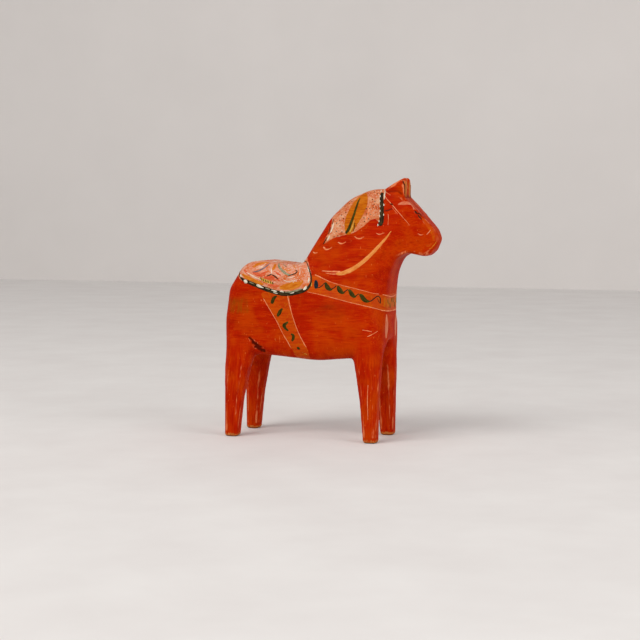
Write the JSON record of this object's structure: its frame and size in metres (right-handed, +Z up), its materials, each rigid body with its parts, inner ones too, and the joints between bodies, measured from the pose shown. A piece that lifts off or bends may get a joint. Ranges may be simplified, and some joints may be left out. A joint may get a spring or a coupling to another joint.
{
  "type": "carved wooden horse",
  "caption": "Free-standing carved and hand-painted folk-art horse on four straight legs, with painted saddle, mane, harness straps and bridle.",
  "frame": {"origin": "on the floor under the middle of the horse, in its plane of symmetry", "axes": "+X from tail end to head, +Y to the horse's left, +Z up"},
  "size_m": [0.1255, 0.0436, 0.1503],
  "materials": {
    "painted_pine": "hand-brushed orange-red oil paint on carved pine, worn at the edges",
    "saddle_cream": "mottled cream and pink oil paint",
    "border_green": "dark green line with white dots",
    "petal_grey": "thin grey-green brush strokes",
    "mane_pink": "salmon pink oil paint with fine dark dots",
    "leaf_ochre": "yellow ochre oil paint",
    "stripe_black": "black-green brush line",
    "cream_line": "worn cream brush strokes",
    "strap_ochre": "thin ochre glaze",
    "leaf_green": "dark green brush dabs",
    "ear_yellow": "worn ochre coat",
    "eye_brown": "dark brown brush marks"
  },
  "bodies": {
    "root": {"carved_horse": "painted_pine", "saddle_paint": "saddle_cream", "saddle_border": "border_green", "saddle_petals": "petal_grey", "mane_paint": "mane_pink", "mane_leaf": "leaf_ochre", "mane_stripe": "stripe_black", "mane_dashes": "cream_line", "neck_stroke": "cream_line", "breast_strap": "strap_ochre", "breast_strap_edging": "cream_line", "breast_strap_leaves": "leaf_green", "girth_strap": "strap_ochre", "girth_strap_edging": "cream_line", "girth_strap_leaves": "leaf_green", "bridle_lines": "cream_line", "eye_marks": "eye_brown", "ear_paint": "ear_yellow"}
  },
  "joints": []
}
